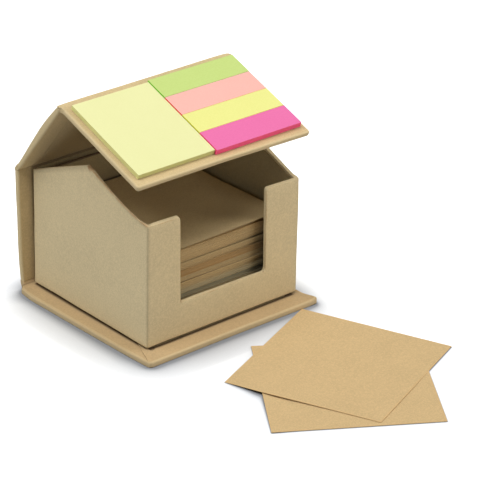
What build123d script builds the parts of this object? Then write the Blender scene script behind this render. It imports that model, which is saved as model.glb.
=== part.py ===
from build123d import *
import os
from math import asin, atan2, cos, degrees, hypot, radians, sin, tan

# Memo box in the shape of a house, in millimetres
# +X runs right along the ridge seen from the front, +Y to the back, +Z up
# The origin is on the table, under the middle of the base

# Case: four greyboards in one kraft wrap
case_side_margin = 7.5  # beside the tray
front_overhang = 10.8  # base in front of the tray
tray_back_gap = 2.2  # tray to the inner face of the back
board_thickness = 2.4
paper_thickness = 0.3  # wrap, turn-ins and liners alike
turn_in = 12.0  # wrap folded over onto the inner face
free_corner_radius = 1.0
wrap_edge_round = 0.5
mitre_gap = 0.3  # seam between two turn-ins
mitre_angle = 45.0
liner_clearance = 0.1

# Paper folds between the boards
spine_half_gap = 3.4  # board edge to the fold axis
eave_half_gap = 2.4
ridge_strip_width = 4.4
strip_clearance = 0.15

# Roof, half open at rest
back_roof_length = 65.2  # eave fold to the first ridge fold
front_roof_length = 67.2  # second ridge fold to the front edge
back_roof_angle = 50.3  # above level
front_roof_angle = 20.0  # below level
ridge_turn = 9.0  # from the ridge strip down to the front roof
roof_seat_clearance = 0.3  # closed roof above the gables

# Tray, made round the sheets
sheet_play = 3.5  # stack to the inside of the walls
front_eave_height = 71.5  # front wall
back_eave_height = 70.0  # back wall
peak_height = 90.0  # gable walls at mid depth
tray_board = 2.0
tray_paper = 0.25
tray_corner_round = 0.6
cut_out_width = 58.2
cut_out_sill = 21.5  # front wall left under the cut-out
cut_out_radius = 2.0
pillar_tip_radius = 1.5
lining_clearance = 0.05

# Memo sheets
sheet_width = 90.0  # square
sheet_thickness = 0.3
stack_height = 47.0
lower_top_aside = 0.6  # the two top sheets lie a little askew
lower_top_ahead = 0.4
lower_top_turn = 1.0
upper_top_aside = 0.9
upper_top_ahead = 0.8
upper_top_turn = -1.6
loose_lower_shift = 9.5  # loose sheets: centre across the case, and nearest corner to the base
loose_lower_gap = 16.23
loose_lower_turn = -34.0
loose_upper_shift = 20.9
loose_upper_gap = 2.45
loose_upper_turn = -68.3

# Note pads on the front roof
pad_width = 51.0
pad_length = 60.0
pad_thickness = 2.7
pad_side_margin = 3.8
pad_ridge_margin = 1.7
pad_gap = 0.4  # sticky pad to page markers
marker_width = 15.4
marker_length = 59.1
marker_thickness = 3.2
marker_gap = 0.15
marker_ridge_margin = 0.8
marker_colours = ("green", "salmon", "yellow", "magenta")
backing_thickness = 0.3
backing_inset = 0.2

cut_overrun = 5.0

os.makedirs("parts", exist_ok=True)


def keep(builder, name):
    builder.part.label = name
    export_step(builder.part, f"parts/{name}.step")


# Sizes of the tray and the case, from the sheets outwards
panel_thickness = board_thickness + 2 * paper_thickness
crease_thickness = 2 * paper_thickness
wall_thickness = tray_board + 2 * tray_paper
tray_width = sheet_width + 2 * (sheet_play + wall_thickness)
tray_depth = tray_width
case_width = tray_width + 2 * case_side_margin
base_depth = front_overhang + tray_depth + tray_back_gap + panel_thickness

# Fold points of the case seen from the side, as (y, z)
half_depth = base_depth / 2
tray_front = front_overhang - half_depth
tray_back = tray_front + tray_depth
tray_middle = (tray_front + tray_back) / 2
front_slope = degrees(atan2(peak_height - front_eave_height, tray_depth / 2))
back_slope = degrees(atan2(peak_height - back_eave_height, tray_depth / 2))


def along(point, angle, distance):
    return (point[0] - distance * cos(radians(angle)), point[1] + distance * sin(radians(angle)))


# the closed back roof lies along the back slope of the gables
eave_drop = (half_depth - tray_back) * tan(radians(back_slope))
eave_lift = (panel_thickness + roof_seat_clearance) / cos(radians(back_slope))
spine_fold = (half_depth, 0)
eave_fold = (half_depth, panel_thickness + back_eave_height - eave_drop + eave_lift)
ridge_strip_angle = ridge_turn - front_roof_angle
ridge_back_fold = along(eave_fold, back_roof_angle, back_roof_length)
ridge_front_fold = along(ridge_back_fold, ridge_strip_angle, ridge_strip_width)


# Planes: local x across the case, local y along the panel, local z into the house
def panel_plane(start, angle):
    slope = radians(angle)
    return Plane(origin=(0, start[0], start[1]), x_dir=(1, 0, 0), z_dir=(0, -sin(slope), -cos(slope)))


def side_plane(start, angle):
    slope = radians(angle)
    return Plane(
        origin=(-case_width / 2, start[0], start[1]), x_dir=(0, -cos(slope), sin(slope)), z_dir=(1, 0, 0)
    )


# Panels: name, plane on the outer face, length, free edge at the start, free edge at the end
panels = (
    ("base", Plane(origin=(0, -half_depth, 0)), base_depth - spine_half_gap, True, False),
    (
        "back",
        panel_plane((half_depth, spine_half_gap), 90),
        eave_fold[1] - spine_half_gap - eave_half_gap,
        False,
        False,
    ),
    (
        "back_roof",
        panel_plane(along(eave_fold, back_roof_angle, eave_half_gap), back_roof_angle),
        back_roof_length - eave_half_gap,
        False,
        False,
    ),
    ("front_roof", panel_plane(ridge_front_fold, -front_roof_angle), front_roof_length, False, True),
)


# Rectangle across a panel, drawn in from its side edges and from its free ends
def panel_rectangle(length, start_free, end_free, inset):
    low = inset if start_free else 0
    high = length - inset if end_free else length
    with Locations((0, (low + high) / 2)):
        Rectangle(case_width - 2 * inset, high - low)


def round_free_corners(outline, start_free, end_free, radius):
    corners = outline.vertices().sort_by(Axis.Y)
    if start_free:
        fillet(corners[:2], radius=radius)
    if end_free:
        fillet(corners[-2:], radius=radius)


def panel_board(name, plane, length, start_free, end_free):
    with BuildPart() as board:
        with BuildSketch(plane.offset(paper_thickness)) as outline:
            panel_rectangle(length, start_free, end_free, paper_thickness)
            round_free_corners(outline, start_free, end_free, free_corner_radius - paper_thickness)
        extrude(amount=board_thickness)
    keep(board, f"{name}_board")


# Edges that the paper is bent over: all but the upright ones and those at a fold
def bent_edges(edges, plane, length, start_free, end_free):
    chosen = ShapeList()
    for edge in edges:
        middle = plane.to_local_coords(edge.center())
        upright = edge.length < panel_thickness * 2 and abs(middle.Z - panel_thickness / 2) < paper_thickness
        at_start = abs(middle.Y) < paper_thickness and not start_free
        at_end = abs(middle.Y - length) < paper_thickness and not end_free
        if not (upright or at_start or at_end):
            chosen.append(edge)
    return chosen


def panel_wrap(name, plane, length, start_free, end_free):
    with BuildPart() as wrap:
        with BuildSketch(plane) as outline:
            panel_rectangle(length, start_free, end_free, 0)
            round_free_corners(outline, start_free, end_free, free_corner_radius)
        extrude(amount=panel_thickness)
        fillet(bent_edges(wrap.edges(), plane, length, start_free, end_free), radius=wrap_edge_round)
        with BuildSketch(plane.offset(paper_thickness)) as pocket:
            panel_rectangle(length, start_free, end_free, paper_thickness)
            round_free_corners(pocket, start_free, end_free, free_corner_radius - paper_thickness)
        extrude(amount=board_thickness, mode=Mode.SUBTRACT)
        with BuildSketch(plane.offset(paper_thickness + board_thickness)):
            panel_rectangle(length, start_free, end_free, turn_in)
            # mitred seams run from the window's corners out towards the free corners
            if start_free or end_free:
                seam_inner = turn_in + mitre_gap
                seam_outer = free_corner_radius + wrap_edge_round
                seam_middle = (seam_inner + seam_outer) / 2
                seam_y = seam_middle if start_free else length - seam_middle
                for side in (-1, 1):
                    seam_x = side * (case_width / 2 - seam_middle)
                    turn = -mitre_angle * side if start_free else mitre_angle * side
                    with Locations(Location((seam_x, seam_y, 0), (0, 0, turn))):
                        Rectangle((seam_inner - seam_outer) * hypot(1, 1), mitre_gap)
        extrude(amount=paper_thickness, mode=Mode.SUBTRACT)
    keep(wrap, f"{name}_wrap")


def panel_liner(name, plane, length, start_free, end_free):
    with BuildPart() as liner:
        with BuildSketch(plane.offset(paper_thickness + board_thickness)):
            panel_rectangle(length, start_free, end_free, turn_in + liner_clearance)
        extrude(amount=paper_thickness)
    keep(liner, f"{name}_liner")


for panel in panels:
    panel_board(*panel)
    panel_wrap(*panel)
    panel_liner(*panel)


# Creases: wrap and liner stuck together, bent round between two board edges
def crease(name, start, heading, end, end_angle):
    inward = (-heading[1], heading[0])
    with BuildPart() as fold:
        with BuildSketch(Plane.YZ):
            with BuildLine():
                outside = TangentArc(start, end, tangent=heading)
                inner_start = (start[0] + crease_thickness * inward[0], start[1] + crease_thickness * inward[1])
                inner_end = along(end, end_angle - 90, crease_thickness)
                inside = TangentArc(inner_start, inner_end, tangent=heading)
                Line(outside @ 0, inside @ 0)
                Line(outside @ 1, inside @ 1)
            make_face()
        extrude(amount=case_width / 2, both=True)
    keep(fold, name)


crease("spine_crease", (half_depth - spine_half_gap, 0), (1, 0), (half_depth, spine_half_gap), 90)
crease(
    "eave_crease",
    (half_depth, eave_fold[1] - eave_half_gap),
    (0, 1),
    along(eave_fold, back_roof_angle, eave_half_gap),
    back_roof_angle,
)

# the ridge crease stays flat between its two fold lines
with BuildPart() as ridge_crease:
    with BuildSketch(side_plane(ridge_back_fold, ridge_strip_angle)):
        with BuildLine():
            back_bevel = crease_thickness * tan(radians(back_roof_angle - ridge_strip_angle))
            front_bevel = crease_thickness * tan(radians(ridge_turn))
            Polyline(
                (strip_clearance, 0),
                (ridge_strip_width - strip_clearance, 0),
                (ridge_strip_width - strip_clearance - front_bevel, crease_thickness),
                (strip_clearance + back_bevel, crease_thickness),
                close=True,
            )
        make_face()
    extrude(amount=case_width)
keep(ridge_crease, "ridge_crease")


# Tray: heights on the gable line, set down by a paper's thickness where asked
tray_bottom = panel_thickness
board_face = tray_paper + tray_board  # outer face of the tray to the inner face of its boards
front_eave_top = tray_bottom + front_eave_height
back_eave_top = tray_bottom + back_eave_height


def gable_height(y, set_down):
    eave_top, slope = (front_eave_top, front_slope) if y < tray_middle else (back_eave_top, back_slope)
    reach = tray_depth / 2 - abs(y - tray_middle)
    return eave_top + reach * tan(radians(slope)) - set_down / cos(radians(slope))


def gable_outline(inset, bottom, set_down):
    low, high = tray_front + inset, tray_back - inset
    Polygon(
        (low, bottom),
        (high, bottom),
        (high, gable_height(high, set_down)),
        (tray_middle, gable_height(tray_middle, set_down)),
        (low, gable_height(low, set_down)),
        align=None,
    )


# Block that cuts the U-shaped opening in the front wall, grown by the paper that lines it
def cut_out_block(grow):
    bottom = tray_bottom + cut_out_sill - grow
    top = tray_bottom + peak_height
    with BuildPart() as block:
        with BuildSketch(Plane.XZ.offset(-tray_front - wall_thickness - cut_overrun)) as opening:
            with Locations((0, (bottom + top) / 2)):
                Rectangle(cut_out_width + 2 * grow, top - bottom)
            fillet(opening.vertices().sort_by(Axis.Y)[:2], radius=cut_out_radius + grow)
        extrude(amount=wall_thickness + 2 * cut_overrun)
    return block.part


# Block that clears the space over the front and back walls, between the gables
def gable_gap_block(width):
    half_length = tray_depth / 2 + cut_overrun
    with BuildPart() as block:
        for side, eave_top in ((-1, front_eave_top), (1, back_eave_top)):
            with BuildSketch(Plane.XY.offset(eave_top)):
                with Locations((0, tray_middle + side * half_length / 2)):
                    Rectangle(width, half_length)
            extrude(amount=peak_height)
    return block.part


# Upper edges of the cut-out, at the tips of the two pillars
def pillar_tips(edges, tip_height, opening_width):
    level = edges.filter_by(Axis.Y).filter_by_position(Axis.Z, tip_height, tip_height)
    return level.sort_by(lambda edge: abs(abs(edge.center().X) - opening_width / 2))[:2]


side_walls = []
for name, side in (("tray_left_wall", -1), ("tray_right_wall", 1)):
    with BuildPart() as side_wall:
        with BuildSketch(Plane.YZ.offset(side * (tray_width / 2 - tray_paper))):
            gable_outline(tray_paper, tray_bottom, tray_paper)
        extrude(amount=-side * tray_board)
    keep(side_wall, name)
    side_walls.append(side_wall)

inner_width = tray_width - 2 * board_face
with BuildPart() as front_wall:
    with BuildSketch(Plane.XY.offset(tray_bottom)):
        with Locations((0, tray_front + tray_paper + tray_board / 2)):
            Rectangle(inner_width, tray_board)
    extrude(amount=front_eave_height - tray_paper)
    add(cut_out_block(tray_paper), mode=Mode.SUBTRACT)
    tips = pillar_tips(front_wall.edges(), front_eave_top - tray_paper, cut_out_width + 2 * tray_paper)
    fillet(tips, radius=pillar_tip_radius - tray_paper)
keep(front_wall, "tray_front_wall")

with BuildPart() as back_wall:
    with BuildSketch(Plane.XY.offset(tray_bottom)):
        with Locations((0, tray_back - tray_paper - tray_board / 2)):
            Rectangle(inner_width, tray_board)
    extrude(amount=back_eave_height - tray_paper)
keep(back_wall, "tray_back_wall")

inner_depth = tray_depth - 2 * board_face
with BuildPart() as floor_board:
    with BuildSketch(Plane.XY.offset(tray_bottom)):
        with Locations((0, tray_middle)):
            Rectangle(inner_width, inner_depth)
    extrude(amount=tray_board)
keep(floor_board, "tray_floor_board")


with BuildPart() as tray_wrap:
    with BuildSketch(Plane.YZ):
        gable_outline(0, tray_bottom, 0)
    extrude(amount=tray_width / 2, both=True)
    fillet(tray_wrap.edges().filter_by(Axis.Z), radius=tray_corner_round)
    add(gable_gap_block(inner_width), mode=Mode.SUBTRACT)
    with BuildSketch(Plane.XY.offset(tray_bottom)):
        with Locations((0, tray_middle)):
            Rectangle(inner_width, inner_depth)
    extrude(amount=peak_height + cut_overrun, mode=Mode.SUBTRACT)
    add(cut_out_block(0), mode=Mode.SUBTRACT)
    fillet(pillar_tips(tray_wrap.edges(), front_eave_top, cut_out_width), radius=pillar_tip_radius)
    for wall in (*side_walls, front_wall, back_wall):
        add(wall.part, mode=Mode.SUBTRACT)
keep(tray_wrap, "tray_wrap")

floor_top = tray_bottom + tray_board
inside_width = tray_width - 2 * wall_thickness
inside_depth = tray_depth - 2 * wall_thickness
with BuildPart() as tray_lining:
    with BuildSketch(Plane.YZ):
        gable_outline(board_face, floor_top, 0)
    extrude(amount=inner_width / 2, both=True)
    add(gable_gap_block(inside_width), mode=Mode.SUBTRACT)
    with BuildSketch(Plane.XY.offset(floor_top)):
        with Locations((0, tray_middle)):
            Rectangle(inside_width, inside_depth)
    extrude(amount=peak_height, mode=Mode.SUBTRACT)
    add(cut_out_block(0), mode=Mode.SUBTRACT)
    fillet(pillar_tips(tray_lining.edges(), front_eave_top, cut_out_width), radius=pillar_tip_radius)
keep(tray_lining, "tray_lining")

with BuildPart() as floor_lining:
    with BuildSketch(Plane.XY.offset(floor_top)):
        with Locations((0, tray_middle)):
            Rectangle(inside_width - 2 * lining_clearance, inside_depth - 2 * lining_clearance)
    extrude(amount=tray_paper)
keep(floor_lining, "tray_floor_lining")


# Memo sheets: the stack stands in the middle of the tray
stack_bottom = floor_top + tray_paper
stack_top = stack_bottom + stack_height
with BuildPart() as memo_stack:
    with BuildSketch(Plane.XY.offset(stack_bottom)):
        with Locations((0, tray_middle)):
            Rectangle(sheet_width, sheet_width)
    extrude(amount=stack_height)
keep(memo_stack, "memo_stack")


def sheet(name, x, y, z, turn):
    with BuildPart() as leaf:
        with BuildSketch(Plane.XY.offset(z)):
            with Locations(Location((x, y, 0), (0, 0, turn))):
                Rectangle(sheet_width, sheet_width)
        extrude(amount=sheet_thickness)
    keep(leaf, name)


top_sheets = (
    ("lower_top_sheet", lower_top_aside, lower_top_ahead, lower_top_turn),
    ("upper_top_sheet", upper_top_aside, upper_top_ahead, upper_top_turn),
)
for layer, (name, aside, ahead, turn) in enumerate(top_sheets):
    sheet(name, aside, tray_middle - ahead, stack_top + layer * sheet_thickness, turn)

loose_sheets = (
    ("loose_sheet_lower", loose_lower_shift, loose_lower_gap, loose_lower_turn),
    ("loose_sheet_upper", loose_upper_shift, loose_upper_gap, loose_upper_turn),
)
for layer, (name, shift, gap, turn) in enumerate(loose_sheets):
    half_reach = sheet_width / 2 * (abs(cos(radians(turn))) + abs(sin(radians(turn))))
    sheet(name, shift, -half_depth - gap - half_reach, layer * sheet_thickness, turn)


# Note pads: each stands on a backing sheet stuck to the front roof
roof_face = panel_plane(ridge_front_fold, -front_roof_angle)
marker_pitch = marker_width + marker_gap
pad_left = pad_side_margin - case_width / 2
marker_left = pad_left + pad_width + pad_gap


def roof_block(name, left, start, width, length, low, thickness):
    with BuildPart() as block:
        with BuildSketch(roof_face.offset(-low)):
            with Locations((left + width / 2, start + length / 2)):
                Rectangle(width, length)
        extrude(amount=-thickness)
    keep(block, name)


def roof_backing(name, left, start, width, length):
    inner_left, inner_start = left + backing_inset, start + backing_inset
    roof_block(
        name,
        inner_left,
        inner_start,
        width - 2 * backing_inset,
        length - 2 * backing_inset,
        0,
        backing_thickness,
    )


roof_backing("sticky_pad_backing", pad_left, pad_ridge_margin, pad_width, pad_length)
roof_block(
    "sticky_pad", pad_left, pad_ridge_margin, pad_width, pad_length, backing_thickness, pad_thickness
)

marker_block_length = len(marker_colours) * marker_pitch - marker_gap
roof_backing("marker_backing", marker_left, marker_ridge_margin, marker_length, marker_block_length)
for row, colour in enumerate(marker_colours):
    roof_block(
        f"marker_pad_{colour}",
        marker_left,
        marker_ridge_margin + row * marker_pitch,
        marker_length,
        marker_width,
        backing_thickness,
        marker_thickness,
    )

# Closed roof: the front roof comes down on the top edge of the front wall
closed_ridge = along(eave_fold, back_slope, back_roof_length)
drop_y, drop_z = closed_ridge[0] - tray_front, closed_ridge[1] - front_eave_top
strip_rise = ridge_strip_width * sin(radians(ridge_turn))
seat_angle = asin((strip_rise - panel_thickness - roof_seat_clearance) / hypot(drop_y, drop_z))
closed_front_angle = degrees(atan2(drop_z, drop_y) + seat_angle)
eave_travel = back_slope - back_roof_angle
ridge_travel = (ridge_turn - closed_front_angle - back_slope) - (ridge_strip_angle - back_roof_angle)

print("spine fold y, z:", spine_fold)
print("eave fold y, z:", eave_fold)
print("ridge folds y, z:", ridge_back_fold, ridge_front_fold)
print("eave travel to closed, degrees:", eave_travel)
print("ridge fold travel to closed, degrees:", ridge_travel)
print("closed front roof below level, degrees:", closed_front_angle)
print("tray front, back, front eave top, stack top:", tray_front, tray_back, front_eave_top, stack_top)
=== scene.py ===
import itertools
import math
import random

import bmesh
import bpy
import numpy as np
from mathutils import Matrix, Vector, noise


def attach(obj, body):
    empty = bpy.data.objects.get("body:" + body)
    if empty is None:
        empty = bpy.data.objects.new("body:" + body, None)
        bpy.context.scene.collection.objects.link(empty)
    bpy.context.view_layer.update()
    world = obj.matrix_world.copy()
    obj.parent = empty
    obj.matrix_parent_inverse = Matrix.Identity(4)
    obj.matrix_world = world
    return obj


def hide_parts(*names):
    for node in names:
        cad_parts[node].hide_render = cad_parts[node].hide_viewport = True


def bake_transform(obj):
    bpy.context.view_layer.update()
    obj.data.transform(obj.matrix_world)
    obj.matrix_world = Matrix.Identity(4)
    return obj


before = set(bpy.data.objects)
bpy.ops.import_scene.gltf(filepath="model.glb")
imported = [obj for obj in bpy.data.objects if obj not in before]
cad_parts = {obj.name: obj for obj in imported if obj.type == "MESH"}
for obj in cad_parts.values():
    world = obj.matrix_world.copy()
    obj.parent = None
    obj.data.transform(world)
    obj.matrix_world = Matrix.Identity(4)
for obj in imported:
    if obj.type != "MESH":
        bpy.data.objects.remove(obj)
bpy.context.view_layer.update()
scene = bpy.context.scene
mm = 0.001
print("frame loaded:", len(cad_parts), "nodes")


def addObject(name, data):
    thing = bpy.data.objects.new(name, data)
    scene.collection.objects.link(thing)
    return thing


# camera at the photograph's place, lengths in mm
viewPoint = {
    "azimuth": -40.503,
    "elevation": 26.061,
    "roll": 0.458,
    "target": (10.536, -50.622, 50.0),
    "distance": 1270.803,
    "focalPixels": 2363.526,
    "framePixels": 478,
    "offsetPixels": (1.865, 1.277),  # principal point right and down of the middle
    "sensor": 36.0,
    "clip": (50, 20000),
}


def placeCamera(view):
    a, e, r = (math.radians(view[k]) for k in ("azimuth", "elevation", "roll"))
    back = Vector((math.sin(a) * math.cos(e), -math.cos(a) * math.cos(e), math.sin(e)))
    right = Vector((math.cos(a), math.sin(a), 0))
    up = back.cross(right)
    right, up = right * math.cos(r) + up * math.sin(r), up * math.cos(r) - right * math.sin(r)
    pixels = view["framePixels"]
    data = bpy.data.cameras.new("photoCamera")
    data.sensor_width = view["sensor"]
    data.lens = view["focalPixels"] / pixels * view["sensor"]
    data.shift_x = -view["offsetPixels"][0] / pixels
    data.shift_y = view["offsetPixels"][1] / pixels
    data.clip_start, data.clip_end = (c * mm for c in view["clip"])
    camera = addObject("photoCamera", data)
    place = Matrix((right, up, back)).transposed().to_4x4()
    place.translation = (Vector(view["target"]) + back * view["distance"]) * mm
    camera.matrix_world = place
    scene.camera = camera


placeCamera(viewPoint)
print("camera placed")


# shader helpers: a number or colour is set on the socket itself, anything else is wired to it
def feed(tree, socket, value):
    if isinstance(value, (int, float)):
        socket.default_value = value
    elif isinstance(value, tuple):
        socket.default_value = (*value, 1)
    else:
        tree.links.new(value, socket)


def addNode(tree, kind, inputs=None, **settings):
    node = tree.nodes.new(kind)
    for key, value in settings.items():
        setattr(node, key, value)
    for label, value in (inputs or {}).items():
        feed(tree, node.inputs[label], value)
    return node


def mathNode(tree, operation, first, second=0.5, clamp=False):
    inputs = {0: first, 1: second}
    return addNode(tree, "ShaderNodeMath", inputs, operation=operation, use_clamp=clamp).outputs[0]


def times(tree, first, second):
    return mathNode(tree, "MULTIPLY", first, second)


def plus(tree, first, second):
    return mathNode(tree, "ADD", first, second)


def opposite(tree, value):
    return mathNode(tree, "SUBTRACT", 1.0, value)


def mixColour(tree, factor, first, second):
    return addNode(tree, "ShaderNodeMix", {0: factor, 6: first, 7: second}, data_type="RGBA").outputs[2]


def ramp(tree, value, low, high):
    inputs = {"Value": value, "From Min": low, "From Max": high}
    return addNode(tree, "ShaderNodeMapRange", inputs, interpolation_type="SMOOTHSTEP").outputs["Result"]


def noiseNode(tree, where, scale, detail, rough=0.5, distortion=0.0):
    return addNode(tree, "ShaderNodeTexNoise", {
        "Vector": where, "Scale": scale, "Detail": detail, "Roughness": rough, "Distortion": distortion,
    }).outputs["Fac"]


def onObject(tree):
    return addNode(tree, "ShaderNodeTexCoord").outputs["Object"]


def meshValue(tree, name):
    return addNode(tree, "ShaderNodeAttribute", attribute_name=name).outputs["Fac"]


# a shader group from its inputs' start values, where a tuple makes a colour
def newGroup(name, inputs, outputs):
    group = bpy.data.node_groups.new(name, "ShaderNodeTree")
    for label, value in inputs.items():
        isColour = isinstance(value, tuple)
        kind = "NodeSocketColor" if isColour else "NodeSocketFloat"
        socket = group.interface.new_socket(label, in_out="INPUT", socket_type=kind)
        socket.default_value = (*value, 1) if isColour else value
    for label in outputs:
        kind = "NodeSocketColor" if label == "Color" else "NodeSocketFloat"
        group.interface.new_socket(label, in_out="OUTPUT", socket_type=kind)
    take = addNode(group, "NodeGroupInput", location=(-900, 0))
    give = addNode(group, "NodeGroupOutput", location=(900, 0))
    return group, take.outputs, give.inputs


# paper: clouded pulp, thin fibres in light and dark, small specks
def paperGroup():
    group, take, give = newGroup("paperPulp", {
        "Paper": (0.5, 0.4, 0.2), "Dark": (0.3, 0.2, 0.1), "Light": (0.7, 0.6, 0.4),
        "Cloud": 0.3, "Grain": 0.3, "Fibre": 0.3, "Speck": 0.3,
    }, ("Color", "Height", "Rough"))
    where = onObject(group)
    cloud = noiseNode(group, where, 70, 3)
    pulp = noiseNode(group, where, 1150, 3, 0.65)
    hair = noiseNode(group, where, 520, 2, 0.5, 1.6)
    hairOff = mathNode(group, "ABSOLUTE", mathNode(group, "SUBTRACT", hair, 0.5))
    hairLine = opposite(group, ramp(group, hairOff, 0.004, 0.022))
    broken = ramp(group, noiseNode(group, where, 330, 2), 0.5, 0.62)
    cells = addNode(group, "ShaderNodeTexVoronoi", {"Vector": where, "Scale": 420})
    cellRed = addNode(group, "ShaderNodeSeparateColor", {0: cells.outputs["Color"]}).outputs[0]
    dot = opposite(group, ramp(group, cells.outputs["Distance"], 0.05, 0.16))
    # one over the other: where, how much, in which colour
    layers = (
        (ramp(group, cloud, 0.35, 0.7), "Cloud", "Dark"),
        (ramp(group, pulp, 0.38, 0.66), "Grain", "Light"),
        (times(group, hairLine, broken), "Fibre", "Light"),
        (times(group, hairLine, opposite(group, broken)), "Fibre", "Dark"),
        (times(group, dot, ramp(group, cellRed, 0.86, 0.9)), "Speck", "Dark"),
    )
    colour = take["Paper"]
    for mask, amount, tint in layers:
        colour = mixColour(group, times(group, mask, take[amount]), colour, take[tint])
    feed(group, give["Color"], colour)
    feed(group, give["Height"], plus(group, times(group, pulp, 0.7), times(group, hairLine, 0.25)))
    feed(group, give["Rough"], plus(group, times(group, pulp, 0.16), 0.78))
    return group


# rubbed edges: the mesh's edge mask broken up by noise
def rubGroup():
    group, take, give = newGroup("rubbedEdge", {
        "Color": (0.5, 0.4, 0.2), "Rubbed": (0.6, 0.4, 0.2), "Edge": 0.0, "Amount": 0.5,
    }, ("Color",))
    where = onObject(group)
    patchy = times(group, noiseNode(group, where, 130, 3, 0.65), 0.75)
    fine = times(group, noiseNode(group, where, 900, 2, 0.6), 0.35)
    broken = mathNode(group, "SUBTRACT", plus(group, patchy, fine), 0.55)
    reach = ramp(group, plus(group, take["Edge"], broken), 0.45, 1.0)
    mask = mathNode(group, "MULTIPLY", reach, take["Amount"], clamp=True)
    feed(group, give["Color"], mixColour(group, mask, take["Color"], take["Rubbed"]))
    return group


# cut edges of piled sheets: fine lines from sheet to sheet
def leafGroup():
    group, take, give = newGroup("leafEdges", {
        "Color": (0.5, 0.4, 0.2), "Deep": (0.3, 0.2, 0.1),
        "Leaf": 0.0, "Side": 0.0, "Tint": 0.0, "Amount": 0.5,
    }, ("Color", "Height"))
    drift = times(group, noiseNode(group, onObject(group), 60, 2), 0.25)
    inputs = {"W": plus(group, take["Leaf"], drift), "Scale": 1.0, "Detail": 3, "Roughness": 0.7}
    line = addNode(group, "ShaderNodeTexNoise", inputs, noise_dimensions="1D")
    lines = ramp(group, line.outputs["Fac"], 0.42, 0.66)
    cut = mathNode(group, "MAXIMUM", times(group, lines, take["Amount"]), take["Tint"])
    mask = times(group, cut, take["Side"])
    feed(group, give["Color"], mixColour(group, mask, take["Color"], take["Deep"]))
    feed(group, give["Height"], opposite(group, mask))
    return group


paperPulp, rubbedEdge, leafEdges = paperGroup(), rubGroup(), leafGroup()
print("shader groups made")


# colours are 0 to 255 as a picture shows them; what a paper leaves out is as in plainPaper
plainPaper = {
    "darker": 0.72, "lighter": 1.22,  # of its own colour, where no dark and light are given
    "cloud": 0.15, "grain": 0.56, "fibre": 0.3, "speck": 0.4,
    "rubAmount": 0.5, "leafTint": 0.0, "leafAmount": 0.6,
    "gloss": 0.25, "bump": 0.25, "bumpDepth": 0.00012,  # in m
}
papers = {
    "roofKraft": {
        "paper": (203, 180, 136), "rubbed": (216, 196, 154), "rubAmount": 0.55, "shadeAndStain": (84, 62, 40),
    },
    # the case's kraft made darker on the base, flap and spine: painted shade under the roof
    "baseKraftShaded": {
        "paper": (189, 162, 121), "rubbed": (206, 184, 142), "rubAmount": 0.6, "shadeAndStain": (70, 48, 29),
    },
    "trayKraft": {
        "paper": (214, 195, 154), "rubbed": (180, 132, 86), "rubAmount": 0.62, "shadeAndStain": (84, 60, 36),
    },
    # the case's kraft made darker for the inside: painted shade
    "liningKraftShaded": {"paper": (168, 150, 112), "shadeAndStain": (40, 34, 24)},
    "roofLining": {"paper": (194, 173, 131)},
    # greyboard, darker than its own colour: painted shade where it shows under the tray
    "greyboard": {"paper": (122, 104, 80), "cloud": 0.5, "speck": 0.8, "bump": 0.4},
    "memoPaper": {"paper": (200, 172, 126), "grain": 0.65, "rubbed": (214, 176, 122)},
    # the memo paper made darker for the top sheets: painted shade inside the box
    "memoTopShaded": {"paper": (182, 160, 119), "grain": 0.6},
    "memoEdges": {
        "paper": (198, 170, 122), "toneLow": (166, 158, 128), "toneHigh": (178, 141, 91),
        "leaf": (100, 82, 54), "leafAmount": 0.75, "shadeAndStain": (54, 56, 42),
    },
    "backingPaper": {"paper": (224, 218, 200), "fibre": 0.15, "speck": 0.1},
}
notePaper = {
    "cloud": 0.1, "grain": 0.3, "fibre": 0.1, "speck": 0.0, "leafTint": 0.9, "leafAmount": 0.9, "bump": 0.12,
}
# face, dark and light of its grain, cut edge
noteColours = {
    "noteYellow": ((228, 228, 168), (220, 218, 152), (234, 234, 180), (214, 205, 122)),
    "markerGreen": ((192, 212, 125), (186, 206, 118), (204, 222, 142), (128, 204, 52)),
    "markerSalmon": ((239, 181, 170), (236, 172, 158), (248, 194, 182), (255, 72, 54)),
    "markerYellow": ((229, 229, 140), (228, 220, 128), (240, 236, 154), (224, 220, 20)),
    "markerMagenta": ((228, 113, 167), (226, 100, 158), (238, 124, 178), (255, 98, 138)),
}
for name, colours in noteColours.items():
    papers[name] = {**notePaper, **dict(zip(("paper", "dark", "light", "leaf"), colours))}
papers["noteYellow"].update({"grain": 0.2, "leafTint": 0.55, "leafAmount": 0.8})
papers["markerMagenta"]["leafTint"] = 0.95


def linear(colour):
    return tuple(c / 12.92 / 255 if c < 10.3 else ((c / 255 + 0.055) / 1.055) ** 2.4 for c in colour)


def shade(colour, factor):
    return tuple(min(c * factor, 1.0) for c in colour)
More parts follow.
